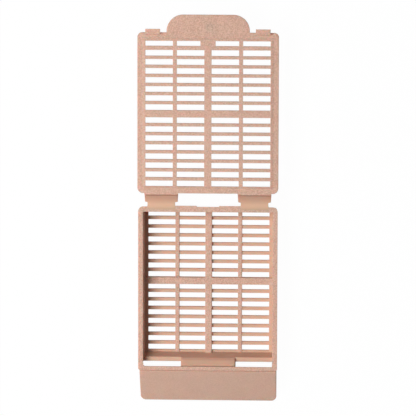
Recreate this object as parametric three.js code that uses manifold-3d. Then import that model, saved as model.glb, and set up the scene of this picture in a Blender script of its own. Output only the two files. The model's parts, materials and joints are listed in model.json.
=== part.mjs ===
// Tissue cassette: a slotted tray with a sloping writing panel, and a slotted lid that folds over it
// on two moulded straps. Millimetres, +Z up. The origin is on the underside, at the middle of the
// tray's cross rib. The tray lies on its floor with the panel towards -Y, and the lid is folded
// right back towards +Y with its inner face up.
import * as THREE from "three";
import { mergeVertices } from "three/addons/utils/BufferGeometryUtils.js";
import Module from "manifold-3d";

const wasm = await Module();
wasm.setup();

// ---- Driving dimensions -------------------------------------------------------------------------

// Tray walls
const TRAY_WIDTH = 28.5;
const TRAY_HEIGHT = 5.8;
const RIM_WIDTH = 1.0;
const WALL_DRAFT = 0.1; // the inner face of a wall moves in by this from the rim to the table
const SIDE_TAPER = 0.35; // and the outer face of a side wall by this
const REAR_TAPER = 0.8; // and that of the rear wall by this
const REAR_CORNER_RADIUS = 1.1;
const FRONT_CORNER_RADIUS = 0.4;

// Tray floor: two bays of slots on each side of the cross rib, in four columns
const ROWS_PER_BAY = 8;
const FLOOR_THICKNESS = 1.0;
const FLOOR_SLOT = 1.15;
const FLOOR_BAR = 0.65;
const FLOOR_END_MARGIN = 0.4;
const FLOOR_SIDE_MARGIN = 0.72;
const CROSS_RIB_WIDTH = 1.39;
const CROSS_RIB_RISE = 0.6;
const CENTRE_RIB_WIDTH = 1.34;
const CENTRE_RIB_RISE = 0.6;
const SIDE_RIB_WIDTH = 0.81;
const SIDE_RIB_RISE = 0.15;
const OUTER_SLOT_EXTRA = 0.24; // the outer columns are this much longer than the inner ones

// Front wall, its raised middle, the latch gaps and the bar that the lid's lugs catch under
const FRONT_LEAN_DEG = 15.5;
const LEDGE_WIDTH = 0.885;
const LEDGE_CLEARANCE = 1.54; // below a closed lug
const BLOCK_WIDTH = 11.36;
const BLOCK_WALL = 0.75;
const BLOCK_CLEARANCE = 0.75; // below the closed lid's plug
const LATCH_GAP = 0.73;
const LATCH_RIM_WIDTH = 0.9;
const BAR_WIDTH = 0.79;
const BAR_THICKNESS = 0.4;

// Writing panel
const PANEL_RUN = 7.15;
const PANEL_THICKNESS = 0.75;
const PANEL_FOOT = 0.3;
const PANEL_INSET = 0.25;
const PANEL_CORNER_RADIUS = 0.75;
const PANEL_WEB = 0.7;

// Hinge straps
const HINGE_SPAN = 2.83; // from the tray's rear face to the open lid's rear edge
const STRAP_SPACING = 19.24;
const STRAP_WIDTH = 6.87;
const STRAP_THICKNESS = 0.3;
const MEMBRANE_WIDTH = 5.64;
const MEMBRANE_LENGTH = 0.93;
const HINGE_BLOCK_LENGTH = 0.3;
const FOLD_GAP = 0.3;
const REAR_PAD_THICKNESS = 0.2;
const REAR_PAD_HEIGHT = 0.6;
const REAR_PAD_GAP = 4.6;

// Lid
const LID_OVERHANG = 0.1;
const LID_THICKNESS = 1.1;
const LID_FRONT_CLEARANCE = 0.27;
const LID_REST_GAP = 0.05;
const LID_FRONT_RADIUS = 0.9;
const LID_REAR_RADIUS = 1.15;
const LID_END_MARGIN = 1.6;
const LID_REAR_MARGIN = 1.45;
const LID_SIDE_MARGIN = 1.65;
const LID_BAR = 0.66;
const LID_CROSS_BAR = 1.46;
const LID_CENTRE_RIB = 1.48;
const LID_SIDE_RIB = 0.83;
const GATE_WIDTH = 3.1;
const PLUG_HEIGHT = 0.35;
const PLUG_CLEARANCE = 0.1; // from the plug's foot to the inside of the rim
const PLUG_DRAFT = 0.15;
const PLUG_CORNER_RADIUS = 0.8;

// Thumb tab and locking lugs
const TAB_WIDTH = 17.1;
const TAB_REACH = 3.62;
const TAB_CORNER_RADIUS = 3.3;
const LUG_WIDTH = 3.0;
const LUG_REACH = 0.92;
const LUG_HOOK = 0.3;
const LUG_CHAMFER = 0.15;
const LUG_RAMP = 0.8;
const LATCH_CLEARANCE = 0.06; // between a closed lug and the underside of the bar

const CORNER_STEPS = 6; // straight steps in a quarter of a round corner
const THROUGH = 1.0; // how far a cutter runs past the face that it cuts

// ---- Places worked out from them ----------------------------------------------------------------

const halfWidth = TRAY_WIDTH / 2;
const rimInner = halfWidth - RIM_WIDTH;
const draftAt = (z) => (WALL_DRAFT * (TRAY_HEIGHT - z)) / TRAY_HEIGHT;
const floorHalfWidth = rimInner - draftAt(FLOOR_THICKNESS);
const bayLength = ROWS_PER_BAY * FLOOR_SLOT + (ROWS_PER_BAY - 1) * FLOOR_BAR;
const floorHalfLength = CROSS_RIB_WIDTH / 2 + bayLength + FLOOR_END_MARGIN;
const rearInner = floorHalfLength + draftAt(FLOOR_THICKNESS);
const rearOuter = rearInner + RIM_WIDTH;
const floorEnd = rearInner + (RIM_WIDTH - REAR_TAPER) / 2; // inside the foot of the rear wall

const lugDepth = BAR_THICKNESS + LATCH_CLEARANCE + LUG_HOOK; // below the rim when the lid is closed
const plugDepth = PLUG_HEIGHT - LID_REST_GAP;
const ledgeTop = TRAY_HEIGHT - lugDepth - LEDGE_CLEARANCE;
const blockTop = TRAY_HEIGHT - plugDepth - BLOCK_CLEARANCE;
const lean = Math.tan(THREE.MathUtils.degToRad(FRONT_LEAN_DEG));
const frontInnerAt = (z) => -floorHalfLength - lean * (z - FLOOR_THICKNESS);
const ledgeFront = frontInnerAt(ledgeTop) - LEDGE_WIDTH;
const barRear = ledgeFront - LATCH_GAP;
const barFront = barRear - BAR_WIDTH;
const panelFront = barFront - PANEL_RUN;
const panelSlope = (TRAY_HEIGHT - PANEL_FOOT) / PANEL_RUN;
const panelDrop = PANEL_THICKNESS * Math.hypot(1, panelSlope); // the panel's thickness, straight down
const panelHalfWidth = halfWidth - PANEL_INSET;

const lidRear = rearOuter + HINGE_SPAN;
const lidLength = rearOuter - barRear - LID_FRONT_CLEARANCE;
const lidFront = lidRear + lidLength;
const lidMiddle = (lidRear + LID_REAR_MARGIN + lidFront - LID_END_MARGIN) / 2; // of the slots
const lidHalfWidth = halfWidth + LID_OVERHANG;
const lidBottom = TRAY_HEIGHT - STRAP_THICKNESS;
const lidTop = lidBottom + LID_THICKNESS;
const plugTop = lidTop + PLUG_HEIGHT;
const plugInset = lidHalfWidth - rimInner + PLUG_CLEARANCE;
const hingeY = rearOuter + HINGE_SPAN / 2;
const hingeZ = (lidTop + TRAY_HEIGHT + LID_REST_GAP) / 2;
const lugTop = 2 * hingeZ - (TRAY_HEIGHT - lugDepth); // where the closed lug's lower end lies when open

// ---- Solids -------------------------------------------------------------------------------------

// A closed three.js geometry as a manifold-3d solid.
function solidOf(geometry) {
  const bare = geometry.clone();
  bare.deleteAttribute("normal");
  bare.deleteAttribute("uv");
  const merged = mergeVertices(bare, 1e-5);
  return new wasm.Manifold(
    new wasm.Mesh({
      numProp: 3,
      vertProperties: new Float32Array(merged.attributes.position.array),
      triVerts: new Uint32Array(merged.index.array),
    }),
  );
}

function box(x0, x1, y0, y1, z0, z1) {
  const geometry = new THREE.BoxGeometry(x1 - x0, y1 - y0, z1 - z0);
  geometry.translate((x0 + x1) / 2, (y0 + y1) / 2, (z0 + z1) / 2);
  return solidOf(geometry);
}

// The same box on both sides of the middle plane, for x0 and x1 above zero.
function boxPair(x0, x1, y0, y1, z0, z1) {
  return box(x0, x1, y0, y1, z0, z1).add(box(-x1, -x0, y0, y1, z0, z1));
}

function extrude(shape, depth) {
  return new THREE.ExtrudeGeometry(shape, { depth, bevelEnabled: false, curveSegments: CORNER_STEPS });
}

function outline(points) {
  return new THREE.Shape(points.map(([a, b]) => new THREE.Vector2(a, b)));
}

// A section drawn in Y and Z, carried from x0 to x1.
function alongX(points, x0, x1) {
  const geometry = extrude(outline(points), x1 - x0);
  const turn = new THREE.Matrix4().makeBasis(
    new THREE.Vector3(0, 1, 0),
    new THREE.Vector3(0, 0, 1),
    new THREE.Vector3(1, 0, 0),
  );
  return solidOf(geometry.applyMatrix4(turn).translate(x0, 0, 0));
}

// A section drawn in X and Z, carried from y0 to y1.
function alongY(points, y0, y1) {
  const geometry = extrude(outline(points), y1 - y0);
  const turn = new THREE.Matrix4().makeBasis(
    new THREE.Vector3(1, 0, 0),
    new THREE.Vector3(0, 0, 1),
    new THREE.Vector3(0, -1, 0),
  );
  return solidOf(geometry.applyMatrix4(turn).translate(0, y1, 0));
}

// A plan outline, carried from z0 to z1.
function alongZ(shape, z0, z1) {
  return solidOf(extrude(shape, z1 - z0).translate(0, 0, z0));
}

// A rectangle with its own corner radius at the rear (+Y) and at the front (-Y) end.
function roundedPlan(halfX, y0, y1, frontRadius, rearRadius) {
  const shape = new THREE.Shape();
  shape.moveTo(-halfX, y0 + frontRadius);
  shape.absarc(-halfX + frontRadius, y0 + frontRadius, frontRadius, Math.PI, 1.5 * Math.PI);
  shape.absarc(halfX - frontRadius, y0 + frontRadius, frontRadius, -0.5 * Math.PI, 0);
  shape.absarc(halfX - rearRadius, y1 - rearRadius, rearRadius, 0, 0.5 * Math.PI);
  shape.absarc(-halfX + rearRadius, y1 - rearRadius, rearRadius, 0.5 * Math.PI, Math.PI);
  return shape;
}

// A solid whose outline changes evenly from one plan at z0 to another at z1, of the same make.
function loft(lowPlan, highPlan, z0, z1) {
  const low = lowPlan.getPoints(CORNER_STEPS);
  const high = highPlan.getPoints(CORNER_STEPS);
  const count = low.length;
  const faces = [];
  for (const [a, b, c] of THREE.ShapeUtils.triangulateShape(low, [])) {
    faces.push(c, b, a);
  }
  for (const [a, b, c] of THREE.ShapeUtils.triangulateShape(high, [])) {
    faces.push(count + a, count + b, count + c);
  }
  for (let i = 0; i < count; i++) {
    const next = (i + 1) % count;
    faces.push(i, next, count + next);
    faces.push(i, count + next, count + i);
  }
  const points = [...low.map((p) => [p.x, p.y, z0]), ...high.map((p) => [p.x, p.y, z1])];
  const geometry = new THREE.BufferGeometry();
  geometry.setAttribute("position", new THREE.Float32BufferAttribute(points.flat(), 3));
  geometry.setIndex(faces);
  return solidOf(geometry);
}

function union(solids) {
  return solids.reduce((whole, next) => whole.add(next));
}

// The edges of the slots in one direction of a pattern, as [low, high] pairs on the positive side:
// half the middle bar, then slots with a bar between each two.
function slotEdges(middleBar, slots, bar) {
  const edges = [];
  let low = middleBar / 2;
  for (const slot of slots) {
    edges.push([low, low + slot]);
    low += slot + bar;
  }
  return edges;
}

// Cutters for a pattern of slots that mirrors in both directions about (0, middleY).
function slotCutters(columns, rows, middleY, z0, z1) {
  const cutters = [];
  for (const [x0, x1] of columns) {
    for (const [a, b] of rows) {
      cutters.push(boxPair(x0, x1, middleY + a, middleY + b, z0, z1));
      cutters.push(boxPair(x0, x1, middleY - b, middleY - a, z0, z1));
    }
  }
  return union(cutters);
}

// ---- Tray ---------------------------------------------------------------------------------------

const floorField = floorHalfWidth - FLOOR_SIDE_MARGIN - CENTRE_RIB_WIDTH / 2 - SIDE_RIB_WIDTH;
const innerSlotLength = (floorField - OUTER_SLOT_EXTRA) / 2;
const floorColumns = slotEdges(
  CENTRE_RIB_WIDTH,
  [innerSlotLength, innerSlotLength + OUTER_SLOT_EXTRA],
  SIDE_RIB_WIDTH,
);

// The slotted floor, which runs under the walls.
function trayFloor() {
  const rows = slotEdges(CROSS_RIB_WIDTH, Array(ROWS_PER_BAY).fill(FLOOR_SLOT), FLOOR_BAR);
  const halfX = rimInner + RIM_WIDTH / 2;
  const plate = box(-halfX, halfX, ledgeFront, floorEnd, 0, FLOOR_THICKNESS);
  return plate.subtract(slotCutters(floorColumns, rows, 0, -THROUGH, FLOOR_THICKNESS + THROUGH));
}

// The cross rib and the three long ribs stand proud of the floor's thin bars.
function trayRibs() {
  const start = frontInnerAt(FLOOR_THICKNESS + CENTRE_RIB_RISE) - LEDGE_WIDTH / 2;
  const halfX = rimInner + RIM_WIDTH / 2;
  const low = FLOOR_THICKNESS / 2;
  const sideRib = floorColumns[0][1];
  return union([
    box(-halfX, halfX, -CROSS_RIB_WIDTH / 2, CROSS_RIB_WIDTH / 2, low, FLOOR_THICKNESS + CROSS_RIB_RISE),
    box(-CENTRE_RIB_WIDTH / 2, CENTRE_RIB_WIDTH / 2, start, floorEnd, low, FLOOR_THICKNESS + CENTRE_RIB_RISE),
    boxPair(sideRib, sideRib + SIDE_RIB_WIDTH, start, floorEnd, low, FLOOR_THICKNESS + SIDE_RIB_RISE),
  ]);
}

// A side wall with its inner face drafted, on the +X side for sign 1.
function sideWall(sign) {
  const section = [
    [sign * halfWidth, TRAY_HEIGHT],
    [sign * rimInner, TRAY_HEIGHT],
    [sign * (rimInner - draftAt(0)), 0],
    [sign * halfWidth, 0],
  ];
  return alongY(section, ledgeFront, rearOuter);
}

function rearWall() {
  const section = [
    [rearOuter, TRAY_HEIGHT],
    [rearInner, TRAY_HEIGHT],
    [rearInner - draftAt(0), 0],
    [rearOuter, 0],
  ];
  return alongX(section, -halfWidth, halfWidth);
}

// The whole outside of the tray behind the panel: it narrows from the rim to the table.
function trayOutside() {
  const atTable = roundedPlan(
    halfWidth - SIDE_TAPER,
    barFront, rearOuter - REAR_TAPER,
    FRONT_CORNER_RADIUS, REAR_CORNER_RADIUS,
  );
  const atRim = roundedPlan(halfWidth, barFront, rearOuter, FRONT_CORNER_RADIUS, REAR_CORNER_RADIUS);
  return loft(atTable, atRim, 0, TRAY_HEIGHT);
}

// The walls as one, tapered outside and with the rear corners rounded.
function trayWalls() {
  return union([sideWall(1), sideWall(-1), rearWall()]).intersect(trayOutside());
}

// Two thin pads stiffen the rear wall's rim between the straps.
function rearPads() {
  const inner = REAR_PAD_GAP / 2;
  const outer = STRAP_SPACING / 2 - MEMBRANE_WIDTH / 2 + STRAP_THICKNESS;
  const face = rearOuter + REAR_PAD_THICKNESS;
  return boxPair(inner, outer, rearInner, face, TRAY_HEIGHT - REAR_PAD_HEIGHT, TRAY_HEIGHT);
}

// The front wall, leaning out, with its straight outer face below the latch gaps.
function frontWall() {
  const section = [
    [frontInnerAt(0), 0],
    [frontInnerAt(ledgeTop), ledgeTop],
    [ledgeFront, ledgeTop],
    [ledgeFront, 0],
  ];
  const halfX = rimInner + RIM_WIDTH / 2;
  return alongX(section, -halfX, halfX);
}

// The raised middle of the front wall: a shelf that runs from the wall to the bar and carries it,
// hollow from below.
function frontBlock() {
  const half = BLOCK_WIDTH / 2;
  const front = barRear - BLOCK_WALL;
  const underBar = TRAY_HEIGHT - BAR_THICKNESS / 2;
  const outer = [
    [frontInnerAt(0), 0],
    [frontInnerAt(blockTop), blockTop],
    [barRear, blockTop],
    [barRear, underBar],
    [front, underBar],
    [front, 0],
  ];
  const hollowTop = blockTop - BLOCK_WALL;
  const hollow = box(
    -half + BLOCK_WALL, half - BLOCK_WALL,
    barFront, frontInnerAt(hollowTop) - BLOCK_WALL,
    -THROUGH, hollowTop,
  );
  return alongX(outer, -half, half).subtract(hollow);
}

// The bar across the front and the two strips of rim that carry it past the latch gaps.
function frontBar() {
  const low = TRAY_HEIGHT - BAR_THICKNESS;
  const inner = halfWidth - LATCH_RIM_WIDTH;
  const bar = box(-halfWidth, halfWidth, barFront, barRear, low, TRAY_HEIGHT);
  const strips = boxPair(inner, halfWidth, barFront, ledgeFront + RIM_WIDTH / 2, low, TRAY_HEIGHT);
  return bar.add(strips).intersect(trayOutside());
}

// The writing panel slopes from the bar to the table. A web closes the wedge at each end.
function writingPanel() {
  const surface = (y) => TRAY_HEIGHT + panelSlope * (y - barFront);
  const backFoot = barFront - (TRAY_HEIGHT - panelDrop) / panelSlope;
  const tuck = barFront + BAR_WIDTH / 2;
  const plate = [
    [barFront, TRAY_HEIGHT],
    [panelFront, surface(panelFront)],
    [panelFront, 0],
    [backFoot, 0],
    [barFront, TRAY_HEIGHT - panelDrop],
    [barFront, TRAY_HEIGHT - BAR_THICKNESS],
    [tuck, TRAY_HEIGHT - BAR_THICKNESS],
    [tuck, TRAY_HEIGHT],
  ];
  const web = [
    [barFront, TRAY_HEIGHT],
    [panelFront, surface(panelFront)],
    [panelFront, 0],
    [barFront, 0],
  ];
  const inner = panelHalfWidth - PANEL_WEB;
  const panel = union([
    alongX(plate, -panelHalfWidth, panelHalfWidth),
    alongX(web, inner, panelHalfWidth),
    alongX(web, -panelHalfWidth, -inner),
  ]);
  const plan = roundedPlan(panelHalfWidth, panelFront, barRear, PANEL_CORNER_RADIUS, PANEL_CORNER_RADIUS);
  return panel.intersect(alongZ(plan, -THROUGH, TRAY_HEIGHT + THROUGH));
}

// One strap up to the fold: a narrow thin membrane at the rim, then the wider strap.
function trayStrap(centreX) {
  const low = TRAY_HEIGHT - STRAP_THICKNESS;
  const wideStart = rearOuter + MEMBRANE_LENGTH;
  const end = hingeY - FOLD_GAP / 2;
  const membrane = MEMBRANE_WIDTH / 2;
  const strap = STRAP_WIDTH / 2;
  return union([
    box(centreX - membrane, centreX + membrane, rearInner + RIM_WIDTH / 2, end, low, TRAY_HEIGHT),
    box(centreX - strap, centreX + strap, wideStart, end, low, TRAY_HEIGHT),
  ]);
}

function tray() {
  return union([
    trayFloor(),
    trayRibs(),
    trayWalls(),
    rearPads(),
    frontWall(),
    frontBlock(),
    frontBar(),
    writingPanel(),
    trayStrap(-STRAP_SPACING / 2),
    trayStrap(STRAP_SPACING / 2),
  ]);
}

// ---- Lid ----------------------------------------------------------------------------------------

// The lid's plate with its thumb tab, in plan.
function lidPlate() {
  const plate = roundedPlan(lidHalfWidth, lidRear, lidFront, LID_REAR_RADIUS, LID_FRONT_RADIUS);
  const tabEnd = lidFront + TAB_REACH;
  const tab = roundedPlan(TAB_WIDTH / 2, lidMiddle, tabEnd, LID_FRONT_RADIUS, TAB_CORNER_RADIUS);
  return alongZ(plate, lidBottom, lidTop).add(alongZ(tab, lidBottom, lidTop));
}

// The raised field that drops inside the tray's rim, with drafted sides.
function lidPlug() {
  const low = (lidBottom + lidTop) / 2;
  const foot = lidHalfWidth - plugInset;
  const across = [
    [-foot, low],
    [foot, low],
    [foot, lidTop],
    [foot - PLUG_DRAFT, plugTop],
    [-foot + PLUG_DRAFT, plugTop],
    [-foot, lidTop],
  ];
  const rear = lidRear + plugInset;
  const front = lidFront - plugInset;
  const lengthways = [
    [rear, low],
    [front, low],
    [front, lidTop],
    [front - PLUG_DRAFT, plugTop],
    [rear + PLUG_DRAFT, plugTop],
    [rear, lidTop],
  ];
  const plan = roundedPlan(foot, rear, front, PLUG_CORNER_RADIUS, PLUG_CORNER_RADIUS);
  const field = alongY(across, rear, front).intersect(alongX(lengthways, -foot, foot));
  return field.intersect(alongZ(plan, lidBottom, plugTop + THROUGH));
}

const lidRows = 2 * ROWS_PER_BAY;
const lidBars = 2 * (ROWS_PER_BAY - 1);
const slottedLength = lidLength - LID_END_MARGIN - LID_REAR_MARGIN;
const lidSlot = (slottedLength - LID_CROSS_BAR - lidBars * LID_BAR) / lidRows;
const lidSlotLength = (2 * lidHalfWidth - 2 * LID_SIDE_MARGIN - LID_CENTRE_RIB - 2 * LID_SIDE_RIB) / 4;

// All the lid's slots, less the solid gate patch that widens the centre rib in the foremost row.
function lidCutters() {
  const columns = slotEdges(LID_CENTRE_RIB, [lidSlotLength, lidSlotLength], LID_SIDE_RIB);
  const rows = slotEdges(LID_CROSS_BAR, Array(ROWS_PER_BAY).fill(lidSlot), LID_BAR);
  const slots = slotCutters(columns, rows, lidMiddle, lidBottom - THROUGH, plugTop + THROUGH);
  const gateStart = lidFront - LID_END_MARGIN - lidSlot - LID_BAR / 2;
  const gate = box(
    -GATE_WIDTH / 2, GATE_WIDTH / 2,
    gateStart, lidFront,
    lidBottom - 2 * THROUGH, plugTop + 2 * THROUGH,
  );
  return slots.subtract(gate);
}

// A locking lug: a ramped post on the inner face, with a hook that reaches past the lid's front edge.
function lug(x0, x1) {
  const hookLow = lugTop - LUG_HOOK;
  const tip = lidFront + LUG_REACH;
  const foot = lidFront - LID_END_MARGIN;
  const section = [
    [foot, (lidBottom + lidTop) / 2],
    [lidFront, (lidBottom + lidTop) / 2],
    [lidFront, hookLow],
    [tip, hookLow],
    [tip, lugTop - LUG_CHAMFER],
    [tip - LUG_CHAMFER, lugTop],
    [foot + LUG_RAMP, lugTop],
    [foot, plugTop],
  ];
  return alongX(section, x0, x1);
}

// The lid's half of one strap, and the block on the lid's rear edge that it grows from.
function lidStrap(centreX) {
  const half = STRAP_WIDTH / 2;
  const blockEnd = lidRear - HINGE_BLOCK_LENGTH;
  const inside = lidRear + LID_END_MARGIN / 2;
  const start = hingeY + FOLD_GAP / 2;
  return union([
    box(centreX - half, centreX + half, start, inside, lidBottom, lidBottom + STRAP_THICKNESS),
    box(centreX - half, centreX + half, blockEnd, inside, lidBottom, lidTop),
  ]);
}

function lid() {
  const lugOuter = lidHalfWidth - LID_SIDE_MARGIN;
  const lugInner = lugOuter - LUG_WIDTH;
  return union([
    lidPlate().add(lidPlug()).subtract(lidCutters()),
    lug(lugInner, lugOuter),
    lug(-lugOuter, -lugInner),
    lidStrap(-STRAP_SPACING / 2),
    lidStrap(STRAP_SPACING / 2),
  ]);
}

// ---- Scene graph --------------------------------------------------------------------------------

// Moulded acetal in a light warm tan, matt from its grained mould.
const TAN = 0xd2a78f;

// A solid as a named three.js mesh.
function piece(name, solid) {
  const made = solid.getMesh();
  const geometry = new THREE.BufferGeometry();
  geometry.setAttribute("position", new THREE.BufferAttribute(new Float32Array(made.vertProperties), 3));
  geometry.setIndex(new THREE.BufferAttribute(new Uint32Array(made.triVerts), 1));
  geometry.computeVertexNormals();
  const material = new THREE.MeshStandardMaterial({ color: TAN, roughness: 0.62, metalness: 0 });
  const mesh = new THREE.Mesh(geometry, material);
  mesh.name = name;
  return mesh;
}

const cassette = new THREE.Group();
cassette.add(piece("base", tray()));
cassette.add(piece("lid", lid()));

export default cassette;
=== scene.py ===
"""Looks of an opened tissue cassette: one moulding in grained tan acetal, on a pale table.

The tray and the lid are each carved from blocks on a grid of break lines, given their round
corners, drafts and slopes as whole arrays, and finished with rounded edges. Sizes are in
millimetres until a mesh is made; the mesh and every Blender object are in metres.
"""

from __future__ import annotations

import json
import logging
import math
from dataclasses import dataclass, replace
from enum import Enum
from typing import Any, Callable, Mapping, Sequence, Union

import bpy
import numpy as np
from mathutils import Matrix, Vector

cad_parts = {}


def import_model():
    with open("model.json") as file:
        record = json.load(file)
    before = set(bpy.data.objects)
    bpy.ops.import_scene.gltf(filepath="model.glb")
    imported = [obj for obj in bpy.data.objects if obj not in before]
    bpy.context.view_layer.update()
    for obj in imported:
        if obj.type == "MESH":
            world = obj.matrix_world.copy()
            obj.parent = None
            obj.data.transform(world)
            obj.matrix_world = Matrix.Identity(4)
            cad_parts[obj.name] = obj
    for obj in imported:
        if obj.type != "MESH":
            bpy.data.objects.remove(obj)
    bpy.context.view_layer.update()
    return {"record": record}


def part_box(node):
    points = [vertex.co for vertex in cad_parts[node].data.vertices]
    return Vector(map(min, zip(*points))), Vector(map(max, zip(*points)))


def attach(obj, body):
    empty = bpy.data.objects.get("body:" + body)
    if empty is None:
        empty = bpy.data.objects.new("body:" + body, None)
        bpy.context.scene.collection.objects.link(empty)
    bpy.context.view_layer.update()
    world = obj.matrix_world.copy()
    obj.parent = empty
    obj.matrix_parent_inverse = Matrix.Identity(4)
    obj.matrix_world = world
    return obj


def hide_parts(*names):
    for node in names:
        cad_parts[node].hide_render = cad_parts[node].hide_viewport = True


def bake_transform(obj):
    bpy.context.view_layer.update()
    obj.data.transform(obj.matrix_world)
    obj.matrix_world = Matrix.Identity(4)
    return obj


LOG = logging.getLogger("cassette")
MM = 0.001  # metres in a millimetre
NEAR = 1e-4  # millimetres between points that lie on the same break line
HINGE_SPAN = 2.83  # from the tray's rear face to the lid's rear edge, open, in millimetres
HINGE_BLOCK = 0.3  # length of the lid's blocks that the straps join, in millimetres
REST_GAP = 0.05  # between the tray's rim and the closed lid, in millimetres
DIGITS = 5  # decimals of a millimetre to which break lines are rounded
ROUNDING = 1e-5  # millimetres by which rounding may move a break line
CLOSE = 1e-3  # share of a corner's radius that still counts as on its edge
TINY = 1e-6  # a share too small to count
SHARP = math.radians(35)  # edges that turn by more than this are rounded

Array = np.ndarray
Warp = Callable[[Array], Array]


class Side(Enum):
    """The two sides of the middle plane."""

    LEFT = -1
    RIGHT = 1


# ---- Carved bodies ------------------------------------------------------------------------------


@dataclass(frozen=True)
class Block:
    """A box of plastic, or of air where solid is False, as (low, high) in X, Y and Z."""

    x: tuple[float, float]
    y: tuple[float, float]
    z: tuple[float, float]
    solid: bool = True

    def pair(self) -> tuple["Block", "Block"]:
        """The block and its mirror image across the middle plane."""
        return self, replace(self, x=(-self.x[1], -self.x[0]))


@dataclass(frozen=True)
class SlotPattern:
    """Slots through a plate: each column of X edges crossed with each row of Y edges."""

    columns: Array
    rows: Array
    z: tuple[float, float]

    @staticmethod
    def edges(middle_bar: float, slots: Sequence[float], bar: float) -> Array:
        """Works out (low, high) edges on both sides of a middle bar.

        The low edge of a slot is half the middle bar plus all slots and bars before it.

        Args:
            middle_bar: Width of the bar in the middle.
            slots: Width of each slot on one side, from the middle out.
            bar: Width of the bar between two slots.

        Returns:
            An array of (low, high) pairs, first one side's and then their mirror images.
        """
        widths = np.asarray(slots, float)
        low = middle_bar / 2 + np.cumsum(widths + bar) - widths - bar
        side = np.stack([low, low + widths], axis=1)
        return np.concatenate([side, -side[:, ::-1]])

    def mask(self, centres: Sequence[Array]) -> Array:
        """Tells which cells lie in a slot, from the cells' centres along X, Y and Z.

        Args:
            centres: Middles of the grid's cells along X, Y and Z.

        Returns:
            True for each cell that lies in a slot.
        """
        inside = [
            ((c[:, None] > spans[:, 0]) & (c[:, None] < spans[:, 1])).any(axis=1)
            for c, spans in zip(centres[:2], (self.columns, self.rows))
        ]
        deep = (centres[2] > self.z[0]) & (centres[2] < self.z[1])
        return inside[0][:, None, None] & inside[1][None, :, None] & deep[None, None, :]

    def widened(self, points: Array, amount: float) -> Array:
        """Drafts the slots, which widen towards the underside.

        The low edges of columns and rows move down and the high ones up, by an amount that grows
        evenly from nothing at the pattern's top to its full size at its foot.

        Args:
            points: The body's points.
            amount: The full shift of an edge, in millimetres.

        Returns:
            The moved points.
        """
        low, high = self.z
        depth = amount * np.clip((high - points[:, 2]) / (high - low), 0, 1)
        moved = points.copy()
        for axis, spans in enumerate((self.columns, self.rows)):
            gap = np.abs(points[:, axis, None, None] - spans[None]) < NEAR
            moved[:, axis] += depth * (gap[:, :, 1].any(axis=1) * 1.0 - gap[:, :, 0].any(axis=1))
        return moved


@dataclass(frozen=True)
class Fill:
    """Extra break lines: spans wider than step between low and high are cut into equal parts."""

    axis: int
    low: float
    high: float
    step: float

    @staticmethod
    def pair(low: float, high: float, step: float) -> tuple["Fill", "Fill"]:
        """The same fill along X on both sides of the middle plane."""
        return Fill(0, low, high, step), Fill(0, -high, -low, step)

    @staticmethod
    def line(place: float) -> "Fill":
        """A single break line at a place along Y, which cuts nothing finer."""
        return Fill(1, place, place, 1.0)


@dataclass(frozen=True)
class Corner:
    """A round corner in plan, for the points above a height.

    The rectangle beside the centre is pulled onto a quarter of an ellipse.
    """

    centre: tuple[float, float]
    quadrant: tuple[int, int]
    radii: tuple[float, float]
    above: float = -math.inf

    def __call__(self, points: Array) -> Array:
        """Moves the rectangle's points.

        With offsets from the centre as shares of the radii, a point at offset d moves to d times
        the larger of |dx| and |dy| over the length of d, so that rectangles about the centre become
        ellipses of the same reach.

        Args:
            points: The body's points, one row of X, Y and Z each.

        Returns:
            The moved points.
        """
        offset = (points[:, :2] - self.centre) * self.quadrant / self.radii
        reach = np.abs(offset).max(axis=1)
        length = np.linalg.norm(offset, axis=1)
        inside = (offset > -NEAR).all(axis=1) & (reach < 1 + CLOSE) & (points[:, 2] > self.above)
        scale = np.where(inside & (length > 0), reach / np.maximum(length, TINY), 1.0)
        moved = points.copy()
        moved[:, :2] = self.centre + offset * scale[:, None] * self.quadrant * self.radii
        return moved


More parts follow.
